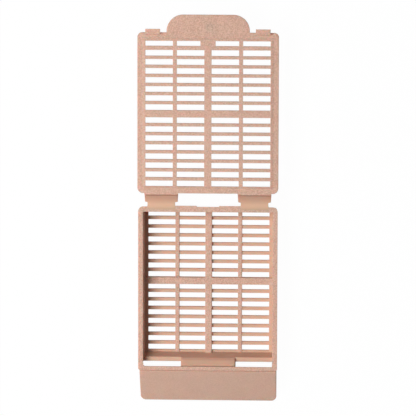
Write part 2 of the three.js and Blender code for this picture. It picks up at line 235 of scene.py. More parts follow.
@dataclass
class Moulding:
    """One closed body made of blocks and slots on a grid of shared break lines."""

    name: str
    blocks: Sequence[Block]
    slots: Sequence[SlotPattern] = ()
    fills: Sequence[Fill] = ()
    warps: Sequence[Warp] = ()
    edge_radius: float = 0.07
    edge_segments: int = 3

    def lines(self, axis: int) -> Array:
        """Gathers the break lines along an axis, with the spans of each fill cut finer.

        Args:
            axis: 0, 1 or 2 for X, Y or Z.

        Returns:
            The lines' places, in order.
        """
        ends = [getattr(block, "xyz"[axis]) for block in self.blocks]
        for pattern in self.slots:
            ends += [pattern.z] if axis == 2 else list((pattern.columns, pattern.rows)[axis])
        marks = [(fill.low, fill.high) for fill in self.fills if fill.axis == axis]
        lines = np.unique(np.round(np.concatenate([np.ravel(ends), np.ravel(marks)]), DIGITS))
        for fill in (fill for fill in self.fills if fill.axis == axis):
            starts, widths = lines[:-1], np.diff(lines)
            inside = starts >= fill.low - ROUNDING
            inside &= starts + widths <= fill.high + ROUNDING
            parts = np.where(inside, np.ceil(widths / fill.step - TINY), 1).astype(int)
            index = np.repeat(np.arange(len(parts)), parts)
            place = np.arange(len(index)) - np.repeat(np.cumsum(parts) - parts, parts)
            lines = np.append(starts[index] + widths[index] * place / parts[index], lines[-1])
        return lines

    def carve(self, lines: Sequence[Array]) -> Array:
        """Fills the grid's cells block by block, in order, and then takes the slots out.

        Args:
            lines: The break lines along X, Y and Z.

        Returns:
            True for each cell of plastic.
        """
        centres = [(line[1:] + line[:-1]) / 2 for line in lines]
        solid = np.zeros([len(c) for c in centres], bool)
        for block in self.blocks:
            hit = [
                (c > low) & (c < high)
                for c, (low, high) in zip(centres, (block.x, block.y, block.z))
            ]
            solid[np.ix_(*hit)] = block.solid
        for pattern in self.slots:
            solid &= ~pattern.mask(centres)
        return solid

    @staticmethod
    def skin(solid: Array) -> Array:
        """Finds the faces between a solid and an empty cell.

        A step from empty to solid along an axis is a face that looks back along it, and a step from
        solid to empty is one that looks on. Each face takes the four grid points round its cell.

        Args:
            solid: True for each cell of plastic.

        Returns:
            An array of faces, each of four indices into the grid's points, facing outwards.
        """
        points = np.arange(np.prod(np.add(solid.shape, 1))).reshape(np.add(solid.shape, 1))
        padded = np.pad(solid, 1).astype(np.int8)
        faces = []
        for axis in range(3):
            step = np.diff(padded, axis=axis)
            step = np.moveaxis(step, axis, 0)[:, 1:-1, 1:-1]
            grid = np.moveaxis(points, axis, 0)
            near, far = grid[:, :-1], grid[:, 1:]
            square = np.stack([near[..., :-1], far[..., :-1], far[..., 1:], near[..., 1:]], -1)
            looks_on = square if axis != 1 else square[..., ::-1]
            faces.append(looks_on[step < 0])
            faces.append(looks_on[step > 0][:, ::-1])
        return np.concatenate(faces)

    def build(self) -> bpy.types.Object:
        """Makes the body's object, with the grid carved, warped and put into a mesh.

        Returns:
            The object, with its edges rounded.
        """
        lines = [self.lines(axis) for axis in range(3)]
        faces = self.skin(self.carve(lines))
        used, faces = np.unique(faces, return_inverse=True)
        points = np.stack(np.meshgrid(*lines, indexing="ij"), axis=-1).reshape(-1, 3)[used]
        for warp in self.warps:
            points = warp(points)
        obj = new_object(self.name, points, facing_out(points, faces.reshape(-1, 4)))
        round_edges(obj, self.edge_radius, self.edge_segments)
        return obj


def facing_out(points: Array, faces: Array) -> Array:
    """Turns the faces of a closed mesh over if they point inwards, as after a mirroring warp.

    With a, b, c and d a face's corners, the sum of a . (b x c + c x d) over all faces is six times
    the enclosed volume, and is negative if the faces point inwards.

    Args:
        points: One row of X, Y and Z for each vertex.
        faces: One row of four vertex indices for each face.

    Returns:
        The faces, facing outwards.
    """
    a, b, c, d = np.moveaxis(points[faces], 1, 0)
    volume = (a * (np.cross(b, c) + np.cross(c, d))).sum()
    return faces if volume > 0 else faces[:, ::-1]


def new_object(name: str, points: Array, faces: Array) -> bpy.types.Object:
    """Puts an array of points, in millimetres, and an array of faces into a new object.

    Args:
        name: The piece's name.
        points: One row of X, Y and Z for each vertex.
        faces: One row of vertex indices for each face.

    Returns:
        The object, linked to the scene, with smooth shading.
    """
    mesh = bpy.data.meshes.new(name)
    mesh.from_pydata((points * MM).tolist(), [], faces.tolist())
    mesh.shade_smooth()
    mesh.validate()
    obj = bpy.data.objects.new(name, mesh)
    bpy.context.scene.collection.objects.link(obj)
    return obj


def round_edges(obj: bpy.types.Object, radius: float, segments: int) -> None:
    """Rounds a body's sharp edges and keeps its flat faces flat.

    Args:
        obj: The body.
        radius: Width of the rounding on each face, in millimetres.
        segments: Faces across the rounding.
    """
    bevel = obj.modifiers.new("rounded edges", "BEVEL")
    bevel.width = radius * MM
    bevel.segments = segments
    bevel.limit_method = "ANGLE"
    bevel.angle_limit = SHARP
    bevel.use_clamp_overlap = False
    normals = obj.modifiers.new("flat faces", "WEIGHTED_NORMAL")
    normals.mode = "FACE_AREA"
    normals.keep_sharp = False


# ---- Shader graphs ------------------------------------------------------------------------------

Colour = tuple[float, float, float]
Box = Sequence[tuple[float, float]]
Input = Union[float, Sequence[float], "Wire"]


class Wire:
    """An output socket with arithmetic: each operation adds a Math node to the graph."""

    def __init__(self, graph: "Graph", socket: bpy.types.NodeSocket) -> None:
        """Wraps a socket of a graph's node."""
        self.graph = graph
        self.socket = socket

    def _math(self, operation: str, first: Input, second: Input) -> "Wire":
        """Adds a Math node on two values."""
        return self.graph.node("ShaderNodeMath", {"operation": operation}, {0: first, 1: second})

    def __add__(self, other: Input) -> "Wire":
        """This plus other."""
        return self._math("ADD", self, other)

    __radd__ = __add__

    def __mul__(self, other: Input) -> "Wire":
        """This times other."""
        return self._math("MULTIPLY", self, other)

    __rmul__ = __mul__

    def __sub__(self, other: Input) -> "Wire":
        """This less other."""
        return self._math("SUBTRACT", self, other)

    def __rsub__(self, other: Input) -> "Wire":
        """Other less this."""
        return self._math("SUBTRACT", other, self)

    def between(self, low: float, high: float) -> "Wire":
        """Rises smoothly from 0 at low to 1 at high."""
        settings = {"interpolation_type": "SMOOTHSTEP"}
        return self.graph.node("ShaderNodeMapRange", settings, {"Value": self, 1: low, 2: high})


class Graph:
    """A material's or the world's node tree, cleared and filled by node()."""

    def __init__(self, owner: Union[bpy.types.Material, bpy.types.World], rest: str = "") -> None:
        """Switches the owner to nodes and empties its tree.

        Args:
            owner: The material or world.
            rest: The attribute that holds a bending piece's points as they lie at rest.
        """
        owner.use_nodes = True
        self.tree = owner.node_tree
        self.tree.nodes.clear()
        self.rest = rest

    def node(
        self,
        kind: str,
        settings: Mapping[str, Any] | None = None,
        inputs: Mapping[Union[str, int], Input] | None = None,
        output: Union[str, int] = 0,
    ) -> Wire:
        """Adds a node.

        Args:
            kind: The node's type.
            settings: The node's own properties, which are set first.
            inputs: A value or a wire for each socket that isn't left as it is.
            output: The output that the returned wire comes from.

        Returns:
            A wire from the node's output, or from its first input if it has no output.
        """
        made = self.tree.nodes.new(kind)
        for name, value in (settings or {}).items():
            setattr(made, name, value)
        for name, value in (inputs or {}).items():
            socket = made.inputs[name]
            if isinstance(value, Wire):
                self.tree.links.new(value.socket, socket)
            else:
                socket.default_value = value
        return Wire(self, made.outputs[output] if len(made.outputs) else made.inputs[0])

    def mix(self, factor: Input, first: Input, second: Input) -> Wire:
        """Blends two colours by a factor."""
        settings = {"data_type": "RGBA", "clamp_factor": True}
        return self.node("ShaderNodeMix", settings, {0: factor, 6: first, 7: second}, output=2)

    def place(self) -> Wire:
        """The point's place: in the object's own coordinates, or at rest for a bending piece.

        Returns:
            The wire that carries the place.
        """
        if self.rest:
            return self.node("ShaderNodeAttribute", {"attribute_name": self.rest}, output="Vector")
        return self.node("ShaderNodeTexCoord", output="Object")

    def inside(self, box: Box, fade: float) -> Wire:
        """1 inside a box and 0 outside it, with an even fade past its faces.

        Args:
            box: The (low, high) pairs of X, Y and Z, in millimetres.
            fade: Width of the fade, in millimetres.

        Returns:
            The wire that carries the value.
        """
        place = self.place()
        product: Input = 1.0
        for axis, (low, high) in zip("XYZ", box):
            value = self.node("ShaderNodeSeparateXYZ", inputs={"Vector": place}, output=axis)
            above = value.between((low - fade) * MM, low * MM)
            below = 1 - value.between(high * MM, (high + fade) * MM)
            product = above * below * product
        return product

    def noise(self, size: float, detail: float, roughness: float = 0.5) -> Wire:
        """Noise that stays on the piece, with features of about size millimetres.

        Args:
            size: Size of the features.
            detail: Finer layers on top of them.
            roughness: How much the finer layers weigh.

        Returns:
            The wire that carries the value, from 0 to 1.
        """
        inputs = {
            "Vector": self.place(),
            "Scale": 1 / (size * MM),
            "Detail": detail,
            "Roughness": roughness,
        }
        return self.node("ShaderNodeTexNoise", {"noise_dimensions": "3D"}, inputs)


def shade(colour: Colour, factor: float) -> Colour:
    """A colour made lighter or darker by a factor."""
    return (colour[0] * factor, colour[1] * factor, colour[2] * factor)


def rgba(colour: Colour = (1.0, 1.0, 1.0)) -> tuple[float, float, float, float]:
    """A colour with full alpha, or plain white."""
    return (*colour, 1.0)


# ---- Finishes -----------------------------------------------------------------------------------


@dataclass(frozen=True)
class PolishedAndShadedBox:
    """A box whose faces a smooth mould part made, with their mean colour or painted shade."""

    box: Box
    colour: Colour = (0.63, 0.395, 0.286)


@dataclass(frozen=True)
class MouldedAcetal:
    """Tan acetal from a spark-eroded mould: matt, with a fine grain and a faint mottle.

    The grain fades inside the boxes of smooth finish, some of which carry painted shade. A piece's
    own attribute of painted light blends towards a paler, warmer colour: light through thin
    plastic, painted in. Lengths are in millimetres.
    """

    name: str
    light: Colour = (0.70, 0.468, 0.368)
    dark: Colour = (0.52, 0.327, 0.249)
    # Painted light: the paler, warmer colour of light shining through thin plastic.
    thin: Colour = (0.67, 0.43, 0.30)
    polished_and_shaded: Sequence[PolishedAndShadedBox] = ()
    polish_fade: float = 0.15
    polish_cloud: float = 0.06
    polish_grain: float = 0.3
    roughness: float = 0.55
    roughness_spread: float = 0.06
    shine: float = 0.06
    speckle_size: float = 0.21
    speckle: float = 1.1
    speckle_edges: tuple[float, float] = (0.3, 0.7)
    fine_share: float = 0.5
    mottle_size: float = 2.2
    mottle: float = 0.4
    grain_depth: float = 0.035
    glow: float = 0.36
    glow_reach: float = 1.4
    glow_tint: Colour = (1.0, 0.1, 0.05)
    rest: str = ""

    def make(self) -> bpy.types.Material:
        """Builds the material.

        The colour runs from dark to light with the sum of a fine speckle and a coarse mottle, each
        taken about its middle. The same speckle and a finer one raise the surface as grain and make
        its gloss uneven.

        Returns:
            The material.
        """
        material = bpy.data.materials.new(self.name)
        graph = Graph(material, self.rest)
        speckle = graph.noise(self.speckle_size, detail=2.0, roughness=0.65)
        fine = graph.noise(self.speckle_size / 3, detail=2.0)
        mottle = graph.noise(self.mottle_size, detail=3.0)
        blend = (speckle.between(*self.speckle_edges) - 0.5) * self.speckle
        blend = blend + (mottle - 0.5) * self.mottle + 0.5
        colour = graph.mix(blend, rgba(self.dark), rgba(self.light))
        height = speckle + fine * self.fine_share
        if self.polished_and_shaded:
            grained: Input = 1.0
            # Each box puts in its own colour; on the front wall's inner face that colour is painted
            # shade.
            for part in self.polished_and_shaded:
                inside = graph.inside(part.box, self.polish_fade)
                dark = rgba(shade(part.colour, 1 - self.polish_cloud))
                light = rgba(shade(part.colour, 1 + self.polish_cloud))
                colour = graph.mix(inside, colour, graph.mix(mottle, dark, light))
                grained = (1 - inside) * grained
            height = height * (grained * (1 - self.polish_grain) + self.polish_grain)
        # The piece's share of painted light blends the colour towards that of light through thin
        # plastic.
        painted_light_share = graph.node("ShaderNodeAttribute", {"attribute_name": "painted_light_share"}, output="Fac")
        bump = graph.node(
            "ShaderNodeBump",
            inputs={"Strength": 1.0, "Distance": self.grain_depth * MM, "Height": height},
        )
        spread = self.roughness_spread
        surface = graph.node(
            "ShaderNodeBsdfPrincipled",
            inputs={
                "Base Color": graph.mix(painted_light_share, colour, rgba(self.thin)),
                "Roughness": fine * (2 * spread) + (self.roughness - spread),
                "Normal": bump,
                "Subsurface Weight": self.glow,
                "Subsurface Radius": self.glow_tint,
                "Subsurface Scale": self.glow_reach * MM,
                "Specular IOR Level": self.shine,
            },
        )
        graph.node("ShaderNodeOutputMaterial", inputs={"Surface": surface})
        return material


@dataclass(frozen=True)
class PaleTable:
    """A white table that shows white to the camera and still takes the object's faint shadow."""

    colour: Colour = (0.86, 0.86, 0.86)
    brightness: float = 0.98

    def make(self) -> bpy.types.Material:
        """Builds the material: mostly white light on rays that show the background, or plain.

        Returns:
            The material.
        """
        material = bpy.data.materials.new("pale_table")
        graph = Graph(material)
        matt = graph.node("ShaderNodeBsdfDiffuse", inputs={"Color": rgba(self.colour)})
        white = graph.node("ShaderNodeEmission", inputs={"Color": rgba(), "Strength": 1.0})
        share = seen(graph) * self.brightness
        both = graph.node("ShaderNodeMixShader", inputs={0: share, 1: matt, 2: white})
        graph.node("ShaderNodeOutputMaterial", inputs={"Surface": both})
        return material


def seen(graph: Graph) -> Wire:
    """1 on rays that show the background: from the camera, or on by a gloss or a clear piece.

    Args:
        graph: The graph that the nodes go into.

    Returns:
        The wire that carries the value.
    """
    rays = ("Is Camera Ray", "Is Glossy Ray", "Is Transmission Ray")
    camera, glossy, clear = (graph.node("ShaderNodeLightPath", output=ray) for ray in rays)
    return graph.node("ShaderNodeClamp", inputs={"Value": camera + glossy + clear})


# ---- Sizes --------------------------------------------------------------------------------------


@dataclass(frozen=True)
class TraySizes:
    """The tray in millimetres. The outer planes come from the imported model.

    The block is the front wall's raised middle, and the ledges are the low parts beside it. The
    latch gaps lie between the ledges and the bar, which carries the rim across the front.
    """

    half_width: float
    height: float
    panel_front: float
    rear: float
    rim: float = 1.0
    rear_rim: float = 1.1
    draft: float = 0.1
    side_taper: float = 0.35
    rear_taper: float = 0.8
    front_corner: float = 0.4
    floor: float = 1.0
    slot: float = 1.15
    bar: float = 0.65
    rows: int = 8
    cross_rib: float = 1.39
    high_rib: float = 0.6
    low_rib: float = 0.2
    centre_rib: float = 1.34
    side_rib: float = 0.81
    side_margin: float = 0.8
    outer_extra: float = 0.24
    end_margin: float = 0.4
    lean: float = math.tan(math.radians(15.5))
    ledge_drop: float = 2.3
    block_half: float = 5.52
    block_drop: float = 1.05
    block_wall: float = 0.9
    block_draft: float = 0.03
    block_dip: float = 0.45
    block_lean: float = 0.32
    block_rise: float = 0.12
    block_ridge: float = 0.3
    latch_gap: float = 0.73
    latch_lip: float = 0.07
    latch_draft: float = 1.2
    end_lean: float = 0.17
    bar_width: float = 0.79
    bar_thickness: float = 0.4
    panel_run: float = 7.15

    @property
    def inner(self) -> float:
        """Half the width between the side walls at the rim."""
        return self.half_width - self.rim

    @property
    def rear_inner(self) -> float:
        """Inside of the rear wall at the rim."""
        return self.rear - self.rear_rim

    @property
    def bay(self) -> float:
        """Length of the slots on one side of the cross rib."""
        return self.rows * self.slot + (self.rows - 1) * self.bar

    @property
    def wall_foot(self) -> float:
        """Where the front wall's inner face meets the floor."""
        return -(self.cross_rib / 2 + self.bay + self.end_margin)

    @property
    def ledge_top(self) -> float:
        """Height of the front wall beside its raised middle."""
        return self.height - self.ledge_drop

    @property
    def block_top(self) -> float:
        """Height of the front wall's raised middle."""
        return self.height - self.block_drop

    @property
    def block_rear(self) -> float:
        """Rear edge of the raised middle's top."""
        return self.wall_foot - self.lean * (self.block_top - self.floor) - self.block_lean

    @property
    def bar_front(self) -> float:
        """Front face of the bar, where the writing panel starts."""
        return self.panel_front + self.panel_run

    @property
    def bar_rear(self) -> float:
        """Rear face of the bar."""
        return self.bar_front + self.bar_width

    @property
    def ridge_rear(self) -> float:
        """Rear edge of the level ridge on the raised middle, beside the bar."""
        return self.bar_rear + self.block_ridge

    @property
    def ledge_front(self) -> float:
        """Front face of the front wall's ledges, behind the latch gaps."""
        return self.bar_rear + self.latch_gap

    @property
    def bar_low(self) -> float:
        """Underside of the bar."""
        return self.height - self.bar_thickness


@dataclass(frozen=True)
class LidSizes:
    """The lid in millimetres, as it lies open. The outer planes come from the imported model.

    The plug is the raised field that drops inside the tray's rim, and the gate is the wide end of
    the centre rib at the tab. The mark is that of the mould's ejector pin.
    """

    half_width: float
    low: float
    tab_end: float
    lug_top: float
    rear: float
    top: float
    side_margin: float = 1.65
    front_margin: float = 1.66
    rear_margin: float = 1.43
    slot_draft: float = 0.07
    plug_inset: float = 1.12
    plug_height: float = 0.18
    plug_slope: float = 0.3
    plug_rear_slope: float = 0.1
    bar: float = 0.66
    rows: int = 8
    cross_bar: float = 1.46
    centre_rib: float = 1.48
    side_rib: float = 0.83
    gate_half: float = 1.55
    gate_bar: float = 0.17
    front_corner: float = 0.9
    tab_half: float = 8.43
    tab_reach: float = 3.62
    tab_corner: float = 3.3
    mark_side: float = 0.3
    mark_reach: float = 1.06

    @property
    def front(self) -> float:
        """The front edge, without the tab."""
        return self.tab_end - self.tab_reach

    @property
    def middle(self) -> float:
        """The middle of the slotted field."""
        return (self.field_front + self.field_rear) / 2

    @property
    def plug_top(self) -> float:
        """Height of the raised field that drops inside the rim."""
        return self.top + self.plug_height

    @property
    def plug_half(self) -> float:
        """Half the width of the raised field at its foot."""
        return self.half_width - self.plug_inset

    @property
    def slot_end(self) -> float:
        """Where the outer slots end."""
        return self.half_width - self.side_margin

    @property
    def field_rear(self) -> float:
        """Where the slotted field starts."""
        return self.rear + self.rear_margin

    @property
    def field_front(self) -> float:
        """Where the slotted field ends."""
        return self.front - self.front_margin

    @property
    def slot(self) -> float:
        """Width of one slot."""
        bars = 2 * (self.rows - 1) * self.bar + self.cross_bar
        return (self.field_front - self.field_rear - bars) / (2 * self.rows)

    @property
    def slot_length(self) -> float:
        """Length of one slot."""
        return (self.slot_end - self.centre_rib / 2 - self.side_rib) / 2


@dataclass(frozen=True)
class StrapSizes:
    """One hinge strap in millimetres.

    The membrane is the thin part at the tray's rim, the shoulder is the step to the wide part, and
    the fold is the groove at the lid's block.
    """

    side: Side
    rear: float
    lid_rear: float
    top: float
    off_middle: float = 9.51
    thickness: float = 0.3
    width: float = 6.87
    corner: float = 0.14
    corner_share: float = 0.48
    membrane_width: float = 5.64
    membrane_length: float = 0.93
    membrane_thickness: float = 0.18
    membrane_ramp: float = 0.2
    shoulder: float = 0.16
    waist: float = 0.12
    flare: float = 0.12
    flare_run: float = 0.3
    fold_depth: float = 0.19
    fold_width: float = 0.2
    buried: float = 0.1
    root: float = 0.95
    lip: float = 0.012
    overlap: float = 0.5
    sink: float = 0.03
    sink_run: float = 0.3
    bend_inset: float = 0.1

    @property
    def centre(self) -> float:
        """The strap's middle along X."""
        return self.side.value * self.off_middle

    @property
    def span(self) -> tuple[float, float]:
        """The strap's two edges along X, where it is widest."""
        return self.centre - self.width / 2, self.centre + self.width / 2

    @property
    def block_rear(self) -> float:
        """Rear face of the lid's block, where the strap ends."""
        return self.lid_rear - HINGE_BLOCK


# ---- Tray ---------------------------------------------------------------------------------------


@dataclass
class Tray:
    """The tray: walls, slotted floor with ribs, front wall, latch gaps, bar and writing panel."""

    sizes: TraySizes
    finish: MouldedAcetal
    panel_finish: MouldedAcetal
    panel_thickness: float = 0.946
    panel_foot: float = 0.3
    panel_inset: float = 0.25
    panel_corner: float = 1.1
    panel_web: float = 0.7
    panel_step: float = 0.13
    panel_lap: float = 0.2
    panel_edge: float = 0.09
    web_share: float = 0.8
    groove_depth: float = 0.5
    groove_width: float = 0.26
    pad_thickness: float = 0.2
    pad_height: float = 0.6
    pad_inner: float = 2.3
    pad_outer: float = 7.1
    wall_mesh: float = 0.3
    corner_mesh: float = 0.14
    panel_corner_mesh: float = 0.19
    panel_mesh: float = 0.8
    end_run: float = 0.15

    def walls(self) -> list[Block]:
        """Blocks of the side and rear walls, hollowed, with the rim carried on past the gaps.

        Returns:
            The blocks, in the order in which they are carved.
        """
        s = self.sizes
        high = (s.bar_low, s.height)
        return [
            Block((-s.half_width, s.half_width), (s.ledge_front, s.rear), (0, s.height)),
            Block((-s.inner, s.inner), (s.ledge_front, s.rear_inner), (0, s.height), solid=False),
            *Block((s.inner, s.half_width), (s.bar_front, s.ledge_front), high).pair(),
            Block((-s.half_width, s.half_width), (s.bar_front, s.bar_rear), high),
        ]

    def pads(self) -> list[Block]:
        """Blocks of the thin pads on the rear face, between the straps.

        Returns:
            The blocks.
        """
        s = self.sizes
        pad = Block(
            (self.pad_inner, self.pad_outer),
            (s.rear, s.rear + self.pad_thickness),
            (s.height - self.pad_height, s.height),
        )
        return [*pad.pair()]

    def floor(self) -> list[Block]:
        """Blocks of the floor, its cross rib and its long ribs.

        Returns:
            The blocks.
        """
        s = self.sizes
        depth = (s.wall_foot, s.rear_inner)
        rib = s.centre_rib / 2
        side = self.slots().columns[0, 1]
        high = (0, s.floor + s.high_rib)
        return [
            Block((-s.inner, s.inner), depth, (0, s.floor)),
            *Block((side, side + s.side_rib), depth, (0, s.floor + s.low_rib)).pair(),
            Block((-rib, rib), depth, high),
            Block((-s.inner, s.inner), (-s.cross_rib / 2, s.cross_rib / 2), high),
        ]

    def front_wall(self) -> list[Block]:
        """Blocks of the front wall and its raised middle, which carries the bar and is hollow.

        Returns:
            The blocks, in the order in which they are carved.
        """
        s = self.sizes
        half = s.block_half
        inner = half - s.block_wall
        hollow_top = s.block_top - s.block_wall
        return [
            Block((-s.inner, s.inner), (s.ledge_front, s.wall_foot), (0, s.ledge_top)),
            Block((-half, half), (s.bar_front, s.wall_foot), (0, s.block_top)),
            Block((-half, half), (s.bar_front, s.bar_rear), (0, s.bar_low)),
            Block((-inner, inner), (s.bar_front, s.ledge_front), (0, hollow_top), solid=False),
        ]

    def slots(self) -> SlotPattern:
        """The floor's slots.

        Returns:
            The slots, through the floor and its low ribs.
        """
        s = self.sizes
        field_half = s.inner - s.side_margin - s.centre_rib / 2 - s.side_rib
        short = (field_half - s.outer_extra) / 2
        columns = SlotPattern.edges(s.centre_rib, [short, short + s.outer_extra], s.side_rib)
        rows = SlotPattern.edges(s.cross_rib, [s.slot] * s.rows, s.bar)
        return SlotPattern(columns, rows, (0, s.floor + s.low_rib))

    def lean_front(self, points: Array) -> Array:
        """Leans the front wall's inner face out.

        It moves by its height above the floor times a slope. The raised middle's face leans
        further, evenly from the ledges' height to its top edge. The side walls' points on the same
        line move with it, which folds a few slivers over at the walls' cut-back ends.

        Args:
            points: The body's points, one row of X, Y and Z each.

        Returns:
            The moved points.
        """
        s = self.sizes
        height = np.clip(points[:, 2] - s.floor, 0, s.block_top - s.floor)
        on_face = np.abs(points[:, 1] - s.wall_foot) < NEAR
        moved = points.copy()
        above = np.clip((points[:, 2] - s.ledge_top) / (s.block_top - s.ledge_top), 0, 1)
        moved[:, 1] -= np.where(on_face, s.lean * height + s.block_lean * above, 0)
        return moved

    def shape_block(self, points: Array) -> Array:
        """Slopes the raised middle's top and drafts its two ends.

        The top climbs evenly from its inner edge to a level ridge beside the bar. An end moves out
        by a width that grows evenly from nothing at the top to its full size at the ledges.

        Args:
            points: The body's points, one row of X, Y and Z each.

        Returns:
            The moved points.
        """
        s = self.sizes
        x, y, z = points.T
        in_front = y < s.wall_foot + NEAR
        climb = np.clip((s.block_rear - y) / (s.block_rear - s.ridge_rear), 0, 1)
        on_top = in_front & (np.abs(z - s.block_top) < NEAR) & (np.abs(x) < s.block_half + NEAR)
        down = np.clip((s.block_top - z) / (s.block_top - s.ledge_top), 0, 1)
        on_end = in_front & (np.abs(np.abs(x) - s.block_half) < NEAR)
        moved = points.copy()
        moved[:, 2] += np.where(on_top, climb * (s.block_dip + s.block_rise) - s.block_dip, 0)
        moved[:, 0] += np.where(on_end, np.sign(x) * s.block_draft * down, 0)
        return moved

    def ease_gaps(self, points: Array) -> Array:
        """Cuts back the walls' ends above the ledges and drafts the strips beside the latch gaps.

        A wall's end draws back by its height above the ledge times a slope. A strip's inner face
        lies further in than the walls' by the latch lip at the rim, and evenly further out with the
        depth, up to the latch draft on the table.

        Args:
            points: The body's points, one row of X, Y and Z each.

        Returns:
            The moved points.
        """
        s = self.sizes
        x, y, z = points.T
        height = np.clip(z - s.ledge_top, 0, s.height - s.ledge_top)
        on_end = (np.abs(y - s.ledge_front) < NEAR) & (np.abs(x) > s.inner - NEAR)
        on_strip = (y < s.ledge_front - NEAR) & (np.abs(np.abs(x) - s.inner) < NEAR)
        moved = points.copy()
        moved[:, 1] += np.where(on_end, s.end_lean * height, 0)
        out = (1 - z / s.height) * (s.latch_lip + s.latch_draft) - s.latch_lip
        moved[:, 0] += np.where(on_strip, np.sign(x) * out, 0)
        return moved

    def taper_walls(self, points: Array) -> Array:
        """Narrows the walls' outside, and drafts their inside, from the rim down to the table.

        The shift grows evenly with the depth under the rim. Across a wall it runs evenly from the
        draft at the inner face to the taper at the outer face.

        Args:
            points: The body's points, one row of X, Y and Z each.

        Returns:
            The moved points.
        """
        s = self.sizes
        x, y, z = points.T
        depth = 1 - z / s.height
        side = np.clip((np.abs(x) - s.inner) / s.rim, 0, 1)
        rear = np.clip((y - s.rear_inner) / s.rear_rim, 0, 1)
        inward = depth * (s.draft + side * (s.side_taper - s.draft))
        onward = depth * (s.draft + rear * (s.rear_taper - s.draft))
        moved = points.copy()
        moved[:, 0] -= np.where(np.abs(x) > s.inner - NEAR, np.sign(x) * inward, 0)
        moved[:, 1] -= np.where(y > s.rear_inner - NEAR, onward, 0)
        return moved

    def body(self) -> bpy.types.Object:
        """The tray without its panel and straps.

        Returns:
            The piece's object.
        """
        s = self.sizes
        front = s.front_corner
        side_edge, rear_edge = s.half_width - front, s.bar_front + front
        corners = [
            corner
            for side in (-1, 1)
            for corner in (
                Corner((side * s.inner, s.rear_inner), (side, 1), (s.rim, s.rear_rim)),
                Corner((side * side_edge, rear_edge), (side, -1), (front, front)),
            )
        ]
        fills = [
            *Fill.pair(s.inner, s.half_width, self.wall_mesh),
            *Fill.pair(side_edge, s.half_width, self.corner_mesh),
            Fill(1, s.rear_inner, s.rear, self.wall_mesh),
            Fill(1, s.bar_front, rear_edge, self.corner_mesh),
            Fill.line(s.ridge_rear),
            Fill.line(s.ledge_front - self.end_run),
        ]
        blocks = self.walls() + self.pads() + self.floor() + self.front_wall()
        warps = [*corners, self.lean_front, self.shape_block, self.ease_gaps, self.taper_walls]
        return Moulding("tray_body", blocks, [self.slots()], fills, warps).build()

    def slope(self, points: Array) -> Array:
        """Lays the panel on its slope.

        Y runs from 0 at the bar to the panel's run at the foot, over which the top falls evenly
        from a step under the rim to the foot's height. A groove beside the bar gets evenly
        shallower away from it. Z is 0 at the top face, -1 at the under face, a plate's thickness
        below, and -2 on the table. Nothing goes below the table.

        Args:
            points: The panel's points, with Y and Z on the panel's own scales.

        Returns:
            The points in the tray's frame.
        """
        s = self.sizes
        along, level = points[:, 1], points[:, 2]
        start = s.height - self.panel_step
        top = start - np.maximum(along, 0) / s.panel_run * (start - self.panel_foot)
        under = np.maximum(top - self.panel_thickness, 0)
        top = top - self.groove_depth * np.clip(1 - along / self.groove_width, 0, 1)
        z = np.where(level > -1, top + level * (top - under), under * (2 + level))
        return np.stack([points[:, 0], s.bar_front - along, z], axis=1)

    def panel(self) -> bpy.types.Object:
        """The writing panel with a web at each end.

        Returns:
            The piece's object.
        """
        s = self.sizes
        half = s.half_width - self.panel_inset
        r = self.panel_corner
        run = s.panel_run
        web = half - self.panel_web
        blocks = [
            Block((-half, half), (-self.panel_lap * s.bar_width, run), (-1, 0)),
            *Block((web, half), (0, self.web_share * run), (-2, -1)).pair(),
        ]
        fills = [
            *Fill.pair(half - r, half, self.panel_corner_mesh),
            Fill(1, self.groove_width, run - r, self.panel_mesh),
            Fill(1, run - r, run, self.panel_corner_mesh),
        ]
        corners = [Corner((side * (half - r), run - r), (side, 1), (r, r)) for side in (-1, 1)]
        warps = [*corners, self.slope]
        return Moulding("writing_panel", blocks, (), fills, warps, self.panel_edge).build()

    def build(self) -> list[bpy.types.Object]:
        """Makes the tray's pieces, gives them their finish and puts them on the base.

        Returns:
            The tray's body and its panel.
        """
        body = dress(self.body(), self.finish, "base")
        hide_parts("base")
        return [body, dress(self.panel(), self.panel_finish, "base")]


# ---- Lid ----------------------------------------------------------------------------------------


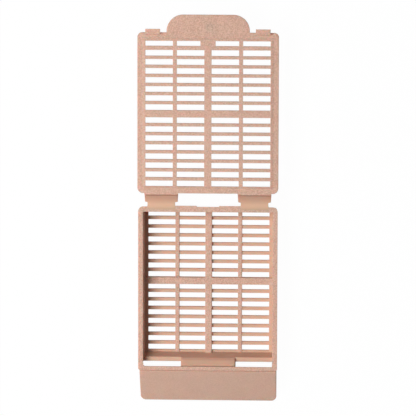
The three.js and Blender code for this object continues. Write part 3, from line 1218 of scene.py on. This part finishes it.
@dataclass
class Lid:
    """The lid: a plate with a thumb tab, a raised slotted field, two lugs and two hinge blocks."""

    sizes: LidSizes
    strap_spans: Sequence[tuple[float, float]]
    finish: MouldedAcetal
    corner_mesh: float = 0.3
    tab_mesh: float = 0.4

    def plate(self) -> list[Block]:
        """Blocks of the plate, the tab, the raised field and the blocks that the straps join.

        Returns:
            The blocks.
        """
        s = self.sizes
        thick = (s.low, s.top)
        plug_span = (s.rear + s.plug_inset, s.front - s.plug_inset)
        return [
            Block((-s.half_width, s.half_width), (s.rear, s.front), thick),
            Block((-s.tab_half, s.tab_half), (s.front, s.tab_end), thick),
            Block((-s.plug_half, s.plug_half), plug_span, (s.top, s.plug_top)),
            *(Block(span, (s.rear - HINGE_BLOCK, s.rear), thick) for span in self.strap_spans),
        ]

    def slots(self) -> SlotPattern:
        """The lid's slots, placed about its middle.

        Returns:
            The slots, through the plate and the raised field.
        """
        s = self.sizes
        columns = SlotPattern.edges(s.centre_rib, [s.slot_length] * 2, s.side_rib)
        rows = SlotPattern.edges(s.cross_bar, [s.slot] * s.rows, s.bar) + s.middle
        return SlotPattern(columns, rows, (s.low, s.plug_top))

    def gated(self) -> tuple[SlotPattern, SlotPattern]:
        """Splits the slots: the foremost row is narrower, and starts further out at the gate.

        Returns:
            The slots of all other rows, and those of the foremost row.
        """
        s = self.sizes
        pattern = self.slots()
        first = pattern.rows[:, 1].argmax()
        beside_rib = np.abs(pattern.columns) < s.centre_rib / 2 + NEAR
        columns = np.where(beside_rib, np.sign(pattern.columns) * s.gate_half, pattern.columns)
        others = replace(pattern, rows=np.delete(pattern.rows, first, axis=0))
        rows = pattern.rows[[first]] + np.array([s.gate_bar, 0])
        return others, replace(pattern, columns=columns, rows=rows)

    def slope_field(self, points: Array) -> Array:
        """Slopes the raised field's rim: its upper edge draws in towards the slots.

        Each strip between the slots and the field's edge keeps its foot, and at the top is scaled
        so that its outer edge lies in by the slope's width.

        Args:
            points: The body's points, one row of X, Y and Z each.

        Returns:
            The moved points.
        """
        s = self.sizes
        x, y, z = points.T
        reach = np.abs(x) - s.slot_end
        wide = s.plug_half - s.slot_end
        front = s.front - s.plug_inset - s.field_front
        rear = s.field_rear - s.rear - s.plug_inset
        level = np.abs(z - s.plug_top) < NEAR
        moved = points.copy()
        in_side = level & (reach > 0)
        in_front = level & (y > s.field_front) & (y < s.field_front + front + NEAR)
        in_rear = level & (y < s.field_rear)
        moved[:, 0] -= np.where(in_side, np.sign(x) * reach * s.plug_slope / wide, 0)
        moved[:, 1] -= np.where(in_front, (y - s.field_front) * s.plug_slope / front, 0)
        moved[:, 1] += np.where(in_rear, (s.field_rear - y) * s.plug_rear_slope / rear, 0)
        return moved

    def draft_slots(self, points: Array) -> Array:
        """Widens every slot a little towards the underside.

        Args:
            points: The body's points, one row of X, Y and Z each.

        Returns:
            The moved points.
        """
        s = self.sizes
        columns = np.concatenate([pattern.columns for pattern in self.gated()])
        rows = np.concatenate([pattern.rows for pattern in self.gated()])
        return replace(self.slots(), columns=columns, rows=rows).widened(points, s.slot_draft)

    def corners(self) -> list[Corner]:
        """The round corners of the plate, the tab and the raised field.

        Returns:
            The corners, which are applied in this order.
        """
        s = self.sizes
        rear, front, tab = s.plug_inset, s.front_corner, s.tab_corner
        strip = s.plug_half - s.slot_end
        front_radii = (strip, s.front_margin - s.plug_inset)
        rear_radii = (strip, s.rear_margin - s.plug_inset)
        above = s.low + NEAR
        return [
            corner
            for side in (-1, 1)
            for corner in (
                Corner((side * (s.half_width - rear), s.rear + rear), (side, -1), (rear, rear)),
                Corner((side * (s.half_width - front), s.front - front), (side, 1), (front, front)),
                Corner((side * (s.tab_half - tab), s.tab_end - tab), (side, 1), (tab, tab)),
                Corner((side * s.slot_end, s.field_front), (side, 1), front_radii, above),
                Corner((side * s.slot_end, s.field_rear), (side, -1), rear_radii, above),
            )
        ]

    def body(self) -> bpy.types.Object:
        """The lid in one body.

        Returns:
            The piece's object.
        """
        s = self.sizes
        fills = [
            *Fill.pair(s.plug_half, s.half_width, self.corner_mesh),
            *Fill.pair(s.tab_half - s.tab_corner, s.tab_half, self.tab_mesh),
            Fill(1, s.rear, s.rear + s.plug_inset, self.corner_mesh),
            Fill(1, s.front - s.front_corner, s.front, self.corner_mesh),
            Fill(1, s.tab_end - s.tab_corner, s.tab_end, self.tab_mesh),
        ]
        warps = [self.slope_field, *self.corners(), self.draft_slots]
        return Moulding("lid_body", self.plate(), self.gated(), fills, warps).build()

    def build(self) -> list[bpy.types.Object]:
        """Makes the lid's pieces, gives them their finish and puts them on the lid.

        Returns:
            The lid's body, its lugs and the pin mark.
        """
        s = self.sizes
        body = dress(self.body(), self.finish, "lid")
        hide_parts("lid")
        lugs = [Lug(side, s.front, s.top, s.lug_top).build() for side in Side]
        mark = PinMark((s.mark_side, s.front + s.mark_reach, s.top)).build()
        return [body, *(dress(piece, self.finish, "lid") for piece in (*lugs, mark))]


@dataclass(frozen=True)
class Lug:
    """A locking lug: a low post on the lid's inner face with a hook past the lid's front edge."""

    side: Side
    front: float
    plate: float
    top: float
    middle: float = 11.2
    half_width: float = 1.5
    length: float = 0.25
    reach: float = 0.82
    hook: float = 0.3
    sunk: float = 0.2
    edge_radius: float = 0.06

    def build(self) -> bpy.types.Object:
        """Makes the lug from its post and its hook.

        Returns:
            The piece's object.
        """
        middle = self.side.value * self.middle
        span = (middle - self.half_width, middle + self.half_width)
        blocks = [
            Block(span, (self.front - self.length, self.front), (self.plate - self.sunk, self.top)),
            Block(span, (self.front, self.front + self.reach), (self.top - self.hook, self.top)),
        ]
        name = f"lug_{self.side.name.lower()}"
        return Moulding(name, blocks, edge_radius=self.edge_radius).build()


@dataclass(frozen=True)
class PinMark:
    """The faint round mark of the mould's ejector pin on the thumb tab: a low rounded ring."""

    place: tuple[float, float, float]
    radius: float = 0.58
    half_width: float = 0.1
    rise: float = 0.035
    around: int = 48
    section: int = 12

    def build(self) -> bpy.types.Object:
        """Makes the ring, an ellipse carried round a circle, with its lower half in the tab.

        A point at angles a round the circle and b round the ellipse lies at radius r + w cos b from
        the middle, in the direction of a, and at height h sin b.

        Returns:
            The piece's object.
        """
        turn = np.arange(self.around) * 2 * np.pi / self.around
        tilt = np.arange(self.section) * 2 * np.pi / self.section
        a, b = np.meshgrid(turn, tilt, indexing="ij")
        reach = self.radius + self.half_width * np.cos(b)
        ring = np.stack([reach * np.cos(a), reach * np.sin(a), self.rise * np.sin(b)], axis=-1)
        index = np.arange(a.size).reshape(a.shape)
        ahead, beside = np.roll(index, -1, axis=0), np.roll(index, -1, axis=1)
        faces = np.stack([index, ahead, np.roll(ahead, -1, axis=1), beside], axis=-1)
        return new_object("pin_mark", ring.reshape(-1, 3) + self.place, faces.reshape(-1, 4))


# ---- Hinge straps -------------------------------------------------------------------------------


@dataclass
class Strap:
    """A hinge strap: a thin membrane at the tray's rim, a wider strap, and a fold at the lid."""

    sizes: StrapSizes
    finish: MouldedAcetal
    stations: int = 72
    across: int = 33
    painted_light_curve: float = 1.5

    def half_width(self, y: Array) -> Array:
        """Works out half the strap's width along it.

        It is narrow over the membrane and widens in a smooth step. The wide part draws in evenly
        by the waist towards the step, and the membrane flares towards the rim as a square.

        Args:
            y: Places along the strap.

        Returns:
            Half the width at each place.
        """
        s = self.sizes
        shoulder = s.rear + s.membrane_length
        step = np.clip((y - shoulder + s.shoulder / 2) / s.shoulder, 0, 1)
        from_block = np.clip((s.block_rear - y) / (s.lid_rear - shoulder), 0, 1)
        to_rim = np.clip((s.rear + s.flare_run - y) / s.flare_run, 0, 1)
        narrow = s.membrane_width / 2 + s.flare * to_rim**2
        wide = s.width / 2 - s.waist * from_block
        return narrow + (wide - narrow) * step**2 * (3 - 2 * step)

    def heights(self, y: Array) -> tuple[Array, Array]:
        """Works out the top and the underside along the strap.

        The top runs on over the rim a hair above it, and sinks under it past the overlap. It dips
        at the lid's end by a depth that falls off as a smooth bell with the distance from the fold.
        The underside is raised over the membrane.

        Args:
            y: Places along the strap.

        Returns:
            The height of the top and of the underside at each place.
        """
        s = self.sizes
        fold = s.block_rear - s.fold_width / 2
        dip = s.fold_depth * np.exp(-(((y - fold) / (s.fold_width / 2)) ** 2))
        sunk = np.clip((s.rear - s.overlap - y) / s.sink_run, 0, 1)
        top = s.top + s.lip - sunk * (s.lip + s.sink) - dip
        past = np.clip((y - s.rear - s.membrane_length) / s.membrane_ramp, 0, 1)
        raised = (s.thickness - s.membrane_thickness) * (1 - past) * (y > s.rear - NEAR)
        return top, s.top - s.thickness + raised

    def painted_light_share(self, y: Array) -> Array:
        """Share of painted light through thin plastic: full on the membrane, less at the fold and
        over the rim.

        Args:
            y: Places along the strap.

        Returns:
            A share from 0 to 1 at each place.
        """
        s = self.sizes
        run = HINGE_SPAN - HINGE_BLOCK - s.membrane_length / 2
        rising = np.clip((s.block_rear - y) / run, 0, 1)
        over = np.clip((s.rear - y) / (s.overlap + s.sink_run), 0, 1)
        return rising**self.painted_light_curve * (1 - over / 2)

    def mesh(self) -> bpy.types.Object:
        """Makes the strap's mesh: a top and an underside on one grid, joined round the edge.

        Across the strap, u runs from -1 to 1 as the sine of an even angle, so that points crowd at
        the edges. Both faces close in there by r - sqrt(r^2 - d^2), with d the distance past the
        start of the rounded edge and r its radius, just under half the thickness at most.

        Returns:
            The object, with its share of painted light and its points at rest as attributes.
        """
        s = self.sizes
        y = np.linspace(s.rear - s.root, s.lid_rear - s.buried, self.stations)
        u = np.sin(np.linspace(-np.pi / 2, np.pi / 2, self.across))
        width = self.half_width(y)
        top, under = self.heights(y)
        x = s.centre + width[:, None] * u
        r = np.minimum(s.corner, s.corner_share * (top - under))[:, None]
        past = np.clip(np.abs(x - s.centre) - width[:, None] + r, 0, r)
        closing = r - np.sqrt(np.maximum(r**2 - past**2, 0))
        wide = np.broadcast_to(y[:, None], x.shape)
        upper = np.stack([x, wide, top[:, None] - closing], axis=-1)
        lower = np.stack([x, wide, under[:, None] + closing], axis=-1)
        ring = np.concatenate([upper, lower[:, ::-1]], axis=1)
        count = ring.shape[1]
        index = np.arange(ring.shape[0] * count).reshape(-1, count)
        side = np.roll(index, -1, axis=1)
        faces = np.stack([index[:-1], index[1:], side[1:], side[:-1]], axis=-1).reshape(-1, 4)
        half = np.arange(count // 2 - 1)
        cap = np.stack([half, half + 1, count - 2 - half, count - 1 - half], axis=-1)
        points = ring.reshape(-1, 3)
        caps = [cap, (cap + index[-1, 0])[:, ::-1]]
        name = f"strap_{s.side.name.lower()}"
        obj = new_object(name, points, facing_out(points, np.concatenate([faces, *caps])))
        # Each point's share of painted light, the light through the thin membrane.
        thin = obj.data.attributes.new("painted_light_share", "FLOAT", "POINT")
        thin.data.foreach_set("value", self.painted_light_share(points[:, 1]))
        rest = obj.data.attributes.new(self.finish.rest, "FLOAT_VECTOR", "POINT")
        rest.data.foreach_set("vector", (points * MM).ravel())
        return obj

    def build(self) -> bpy.types.Object:
        """Makes the strap and gives it its finish, without putting it on either body.

        Returns:
            The piece's object.
        """
        s = self.sizes
        obj = dress(self.mesh(), self.finish, None)
        start = (0, (s.rear + s.bend_inset) * MM, s.top * MM)
        stop = (0, s.block_rear * MM, s.top * MM)
        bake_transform(obj)
        return obj


def dress(obj: bpy.types.Object, finish: MouldedAcetal, body: str | None) -> bpy.types.Object:
    """Gives a piece its finish and puts it on a body.

    Args:
        obj: The piece.
        finish: The finish, made once for each name.
        body: The body that the piece rides on, or None for a piece that bends between two.

    Returns:
        The piece.
    """
    material = bpy.data.materials.get(finish.name) or finish.make()
    obj.data.materials.append(material)
    if body:
        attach(obj, body)
    return obj


# ---- Studio -------------------------------------------------------------------------------------


@dataclass(frozen=True)
class Lamp:
    """A long soft box above, a little to the left, with its length along Y. In metres and watts."""

    place: tuple[float, float, float] = (-0.142, 0.014, 0.287)
    target: tuple[float, float, float] = (0.0, 0.012, 0.0)
    width: float = 0.16
    length: float = 0.3
    power: float = 1.205

    def build(self) -> bpy.types.Object:
        """Makes the lamp and turns it to its target, its own X axis along Y.

        Returns:
            The lamp's object.
        """
        light = bpy.data.lights.new("key", "AREA")
        light.energy = self.power
        light.shape = "RECTANGLE"
        light.size, light.size_y = self.length, self.width
        obj = bpy.data.objects.new("key", light)
        obj.location = self.place
        aim = Vector(self.target) - Vector(self.place)
        obj.rotation_euler = aim.to_track_quat("-Z", "Y").to_euler()
        bpy.context.scene.collection.objects.link(obj)
        return obj


@dataclass(frozen=True)
class Studio:
    """The table, the light and the camera, in metres, with the lens in millimetres."""

    table_half: float = 0.6
    table_gap: float = 0.00001
    world_strength: float = 0.15
    camera_height: float = 0.8
    camera_side: float = 0.03468
    camera_back: float = 0.12116
    lens: float = 340.3
    sensor: float = 36.0
    clip: tuple[float, float] = (0.05, 20.0)
    tilt: tuple[float, float, float] = (-0.1319, 0.0436, 0.0023)

    def table(self) -> bpy.types.Object:
        """A flat table just under the tray.

        Returns:
            The table's object.
        """
        corners = np.array([(-1, -1), (1, -1), (1, 1), (-1, 1)]) * self.table_half / MM
        points = np.column_stack([corners, np.full(4, -self.table_gap / MM)])
        obj = new_object("table", points, np.array([[0, 1, 2, 3]]))
        obj.data.materials.append(PaleTable().make())
        return obj

    def world(self) -> None:
        """A pale surround: plain soft light, and white where it is seen."""
        world = bpy.data.worlds.new("surround")
        bpy.context.scene.world = world
        graph = Graph(world)
        strength = seen(graph) * (1 - self.world_strength) + self.world_strength
        inputs = {"Color": rgba(), "Strength": strength}
        light = graph.node("ShaderNodeBackground", inputs=inputs)
        graph.node("ShaderNodeOutputWorld", inputs={"Surface": light})

    def camera(self) -> bpy.types.Object:
        """A long lens nearly straight above, a little towards the lid and the right.

        Returns:
            The camera's object.
        """
        data = bpy.data.cameras.new("camera")
        data.lens = self.lens
        data.sensor_width = self.sensor
        data.clip_start, data.clip_end = self.clip
        obj = bpy.data.objects.new("camera", data)
        obj.location = (self.camera_side, self.camera_back, self.camera_height)
        obj.rotation_mode = "ZXY"
        obj.rotation_euler = self.tilt
        bpy.context.scene.collection.objects.link(obj)
        bpy.context.scene.camera = obj
        return obj

    def build(self) -> None:
        """Sets up the whole studio."""
        bpy.context.scene.view_settings.view_transform = "Standard"
        self.camera()
        self.table()
        self.world()
        Lamp().build()


# ---- The whole ----------------------------------------------------------------------------------


def millimetres(node: str) -> tuple[Array, Array]:
    """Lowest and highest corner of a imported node, in millimetres."""
    low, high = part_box(node)
    return np.array(low) / MM, np.array(high) / MM


def packed_sizes(record: Mapping[str, Any]) -> tuple[TraySizes, LidSizes, list[StrapSizes]]:
    """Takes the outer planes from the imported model, and all else from the sizes' own values.

    The hinge's axis lies midway between the tray's rear face and the lid's rear edge. In height it
    lies midway between the open lid's top and a plane above the tray's rim, higher than the rim by
    the gap that the closed lid keeps.

    Args:
        record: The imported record.

    Returns:
        The sizes of the tray, of the lid and of each strap.
    """
    base_low, base_high = millimetres("base")
    lid_low, lid_high = millimetres("lid")
    hinge_y, hinge_z = np.array(record["behaviour"]["joints"][0]["pos_m"][1:]) / MM
    rear, lid_rear = hinge_y - HINGE_SPAN / 2, hinge_y + HINGE_SPAN / 2
    lid_top = 2 * hinge_z - base_high[2] - REST_GAP
    tray = TraySizes(base_high[0], base_high[2], base_low[1], rear)
    lid = LidSizes(lid_high[0], lid_low[2], lid_high[1], lid_high[2], lid_rear, lid_top)
    return tray, lid, [StrapSizes(side, rear, lid_rear, base_high[2]) for side in Side]


def polished_and_shaded_parts(t: TraySizes) -> list[PolishedAndShadedBox]:
    """Lists the tray's smooth parts: the floor, and the front wall, its inner face in painted
    shade.

    The first two boxes reach a little past their faces. The others, which paint shade on the inner
    face beside the raised middle and on it, stop short of the floor and of the edge above.

    Args:
        t: The tray's sizes.

    Returns:
        The boxes. A later one lies over the ones before it.
    """
    past, hair, over = 0.05, 0.02, 0.2
    off_floor, off_ledge, off_top = 0.2, 0.25, 0.2
    across, middle = (-t.inner, t.inner), (-t.block_half, t.block_half)
    face = (t.block_rear - hair, t.wall_foot)
    foot = t.floor + off_floor
    # Painted shade: the front wall's inner face gets this darker colour instead of the smooth one.
    painted_shade_colour = (0.59, 0.345, 0.25)
    return [
        PolishedAndShadedBox((across, (t.wall_foot, t.rear_inner), (-past, t.floor + past))),
        PolishedAndShadedBox((across, (t.bar_rear + past, t.wall_foot), (-past, t.block_top + over))),
        PolishedAndShadedBox((across, face, (foot, t.ledge_top - off_ledge)), painted_shade_colour),
        PolishedAndShadedBox((middle, face, (foot, t.block_top - t.block_dip - off_top)), painted_shade_colour),
    ]


def main() -> None:
    """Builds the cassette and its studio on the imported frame."""
    logging.basicConfig(level=logging.INFO, format="%(name)s: %(message)s")
    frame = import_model()
    tray_sizes, lid_sizes, straps = packed_sizes(frame["record"])
    Studio().build()

    acetal = MouldedAcetal("grained_acetal")
    tray_acetal = replace(acetal, name="tray_acetal", polished_and_shaded=polished_and_shaded_parts(tray_sizes))
    # The panel's weaker speckle and shallower grain are its own finish; its dark colour is made
    # lighter, painted light that lifts the shade of its slope.
    panel_acetal_painted_light = replace(
        acetal,
        name="panel_acetal_painted_light",
        light=shade(acetal.light, 0.99),
        dark=shade(acetal.dark, 1.08),
        speckle=0.65,
        grain_depth=0.012,
    )
    # The strap's colours are darker than the same plastic elsewhere: painted shade, as cast by the
    # lid's block.
    strap_acetal = replace(
        acetal,
        name="strap_acetal",
        light=(0.465, 0.29, 0.212),
        dark=(0.40, 0.245, 0.175),
        speckle=0.3,
        grain_depth=0.008,
        rest="rest",
    )
    pieces = Tray(tray_sizes, tray_acetal, panel_acetal_painted_light).build()
    pieces += Lid(lid_sizes, [sizes.span for sizes in straps], acetal).build()
    pieces += [Strap(sizes, strap_acetal).build() for sizes in straps]
    for piece in pieces:
        LOG.info("%s: %d vertices", piece.name, len(piece.data.vertices))


if __name__ == "__main__":
    main()
